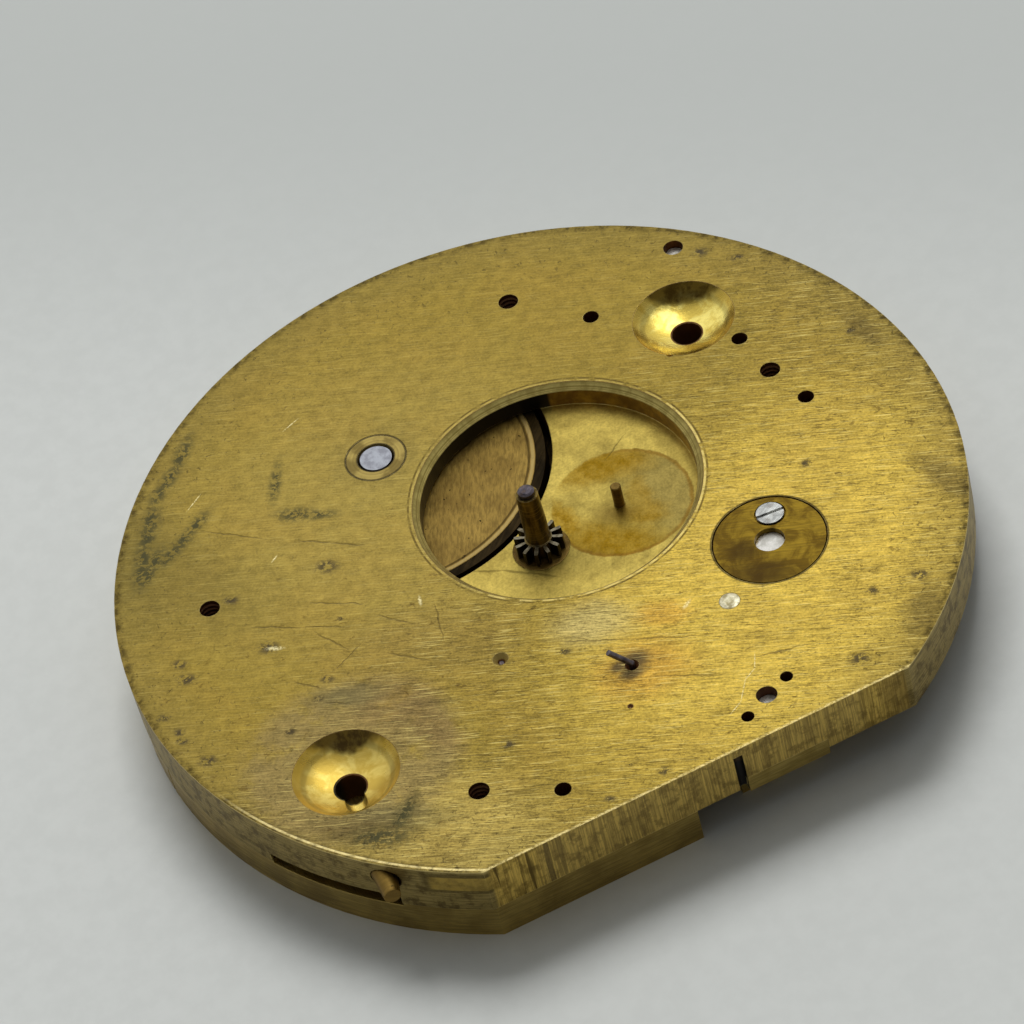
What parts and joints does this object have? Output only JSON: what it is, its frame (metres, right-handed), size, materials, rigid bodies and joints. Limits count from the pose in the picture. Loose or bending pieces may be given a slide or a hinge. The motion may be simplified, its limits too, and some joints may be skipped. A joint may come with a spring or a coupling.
{
  "type": "pocket watch movement",
  "caption": "Round brass pocket watch movement shown dial side up: plate, bridges, barrel, wheel train, lever escapement, balance and hand-setting arbor, sawn flat at six o'clock.",
  "frame": {"origin": "axis of the centre arbor at the dial face of the main plate", "axes": "+Z out of the dial face along the centre post, +Y to twelve o'clock, +X to three o'clock"},
  "size_m": [0.043, 0.0398, 0.0078],
  "materials": {
    "plate_brass": "brushed, aged and tarnished",
    "bridge_brass": "brushed",
    "bush_brass": "turned",
    "nickel_silver": "rough, domed",
    "dark_bronze": "dull, brown",
    "barrel_brass": "brushed, brown",
    "wheel_brass": "fine grained",
    "screw_steel": "polished heads",
    "polished_steel": "polished",
    "arbor_steel": "hardened",
    "browned_steel": "browned, worn",
    "spring_steel": "tempered",
    "blued_steel": "blued",
    "ruby": "clear red"
  },
  "bodies": {
    "plate_and_bridges": {"main_plate": "plate_brass", "centre_bush": "bush_brass", "barrel_bush": "bush_brass", "pallet_bush": "nickel_silver", "minute_wheel_post": "bush_brass", "balance_endpiece": "dark_bronze", "endpiece_screw": "screw_steel", "lower_endstone": "polished_steel", "lower_balance_jewel": "ruby", "dial_foot_pin": "bush_brass", "case_screw": "screw_steel", "barrel_bridge": "bridge_brass", "train_bridge": "bridge_brass", "centre_bridge": "bridge_brass", "balance_cock": "bridge_brass", "escapement_cock": "bridge_brass", "bridge_screws": "screw_steel", "cock_screws": "screw_steel", "steady_pins": "bush_brass", "banking_pins": "screw_steel", "escapement_jewels": "ruby", "upper_balance_jewel": "ruby", "upper_endstone": "ruby", "endstone_cap": "polished_steel", "endstone_cap_screws": "screw_steel", "hairspring_stud": "screw_steel", "hairspring": "blued_steel", "click_screw": "screw_steel", "click_spring": "spring_steel"},
    "winding_arbor": {"ratchet_wheel": "polished_steel", "barrel_arbor": "arbor_steel"},
    "barrel": {"barrel_drum": "barrel_brass", "barrel_lid": "dark_bronze", "mainspring": "spring_steel"},
    "centre_arbor": {"centre_wheel": "wheel_brass", "centre_pinion": "arbor_steel"},
    "setting_arbor_and_cannon": {"setting_arbor": "arbor_steel", "cannon_pinion": "browned_steel"},
    "third_arbor": {"third_wheel": "wheel_brass", "third_pinion": "arbor_steel"},
    "fourth_arbor": {"fourth_wheel": "wheel_brass", "fourth_pinion": "arbor_steel"},
    "escape_arbor": {"escape_wheel": "polished_steel", "escape_pinion": "arbor_steel"},
    "pallet_lever": {"pallet_fork": "polished_steel", "pallet_stones": "ruby", "pallet_arbor": "arbor_steel"},
    "balance": {"balance_wheel": "wheel_brass", "balance_screws": "wheel_brass", "balance_staff": "arbor_steel", "roller": "polished_steel", "impulse_jewel": "ruby", "hairspring_collet": "bush_brass"},
    "click": {"click": "polished_steel"},
    "regulator": {"regulator": "polished_steel", "curb_pins": "bush_brass"}
  },
  "joints": [
    {"name": "fourth_turn", "type": "hinge", "parent": "plate_and_bridges", "child": "fourth_arbor", "pos_m": [0.0002, -0.01065, -0.003], "axis": [0, 0, 1], "continuous": true},
    {"name": "escape_turn", "type": "hinge", "parent": "plate_and_bridges", "child": "escape_arbor", "pos_m": [0.0034, -0.0075, -0.003], "axis": [0, 0, 1], "continuous": true},
    {"name": "third_turn", "type": "hinge", "parent": "plate_and_bridges", "child": "third_arbor", "pos_m": [-0.00505, -0.00665, -0.003], "axis": [0, 0, 1], "continuous": true},
    {"name": "centre_turn", "type": "hinge", "parent": "plate_and_bridges", "child": "centre_arbor", "pos_m": [0, 0, -0.003], "axis": [0, 0, 1], "continuous": true},
    {"name": "barrel_turn", "type": "hinge", "parent": "plate_and_bridges", "child": "barrel", "pos_m": [-0.0048, 0.00935, -0.0022], "axis": [0, 0, 1], "continuous": true},
    {"name": "winding", "type": "hinge", "parent": "plate_and_bridges", "child": "winding_arbor", "pos_m": [-0.0048, 0.00935, -0.0022], "axis": [0, 0, 1], "continuous": true, "deforming": ["mainspring"]},
    {"name": "hand_setting", "type": "hinge", "parent": "centre_arbor", "child": "setting_arbor_and_cannon", "pos_m": [0, 0, 0], "axis": [0, 0, 1], "continuous": true},
    {"name": "lever_rock", "type": "hinge", "parent": "plate_and_bridges", "child": "pallet_lever", "pos_m": [0.006, -0.00965, -0.003], "axis": [0, 0, 1], "range_deg": [-5, 5]},
    {"name": "balance_swing", "type": "hinge", "parent": "plate_and_bridges", "child": "balance", "pos_m": [0.00945, -0.00715, -0.003], "axis": [0, 0, 1], "range_deg": [-270, 270], "deforming": ["hairspring"]},
    {"name": "click_pivot", "type": "hinge", "parent": "plate_and_bridges", "child": "click", "pos_m": [-0.00992, 0.00749, -0.0042], "axis": [0, 0, 1], "range_deg": [-12, 0], "deforming": ["click_spring"]},
    {"name": "regulator_turn", "type": "hinge", "parent": "plate_and_bridges", "child": "regulator", "pos_m": [0.00945, -0.00715, -0.0046], "axis": [0, 0, 1], "range_deg": [-25, 25]}
  ],
  "couplings": [
    {"joint": "escape_turn", "follows": "fourth_turn", "ratio": -10},
    {"joint": "third_turn", "follows": "fourth_turn", "ratio": -0.13333},
    {"joint": "centre_turn", "follows": "fourth_turn", "ratio": 0.016667},
    {"joint": "barrel_turn", "follows": "fourth_turn", "ratio": -0.0020833}
  ]
}
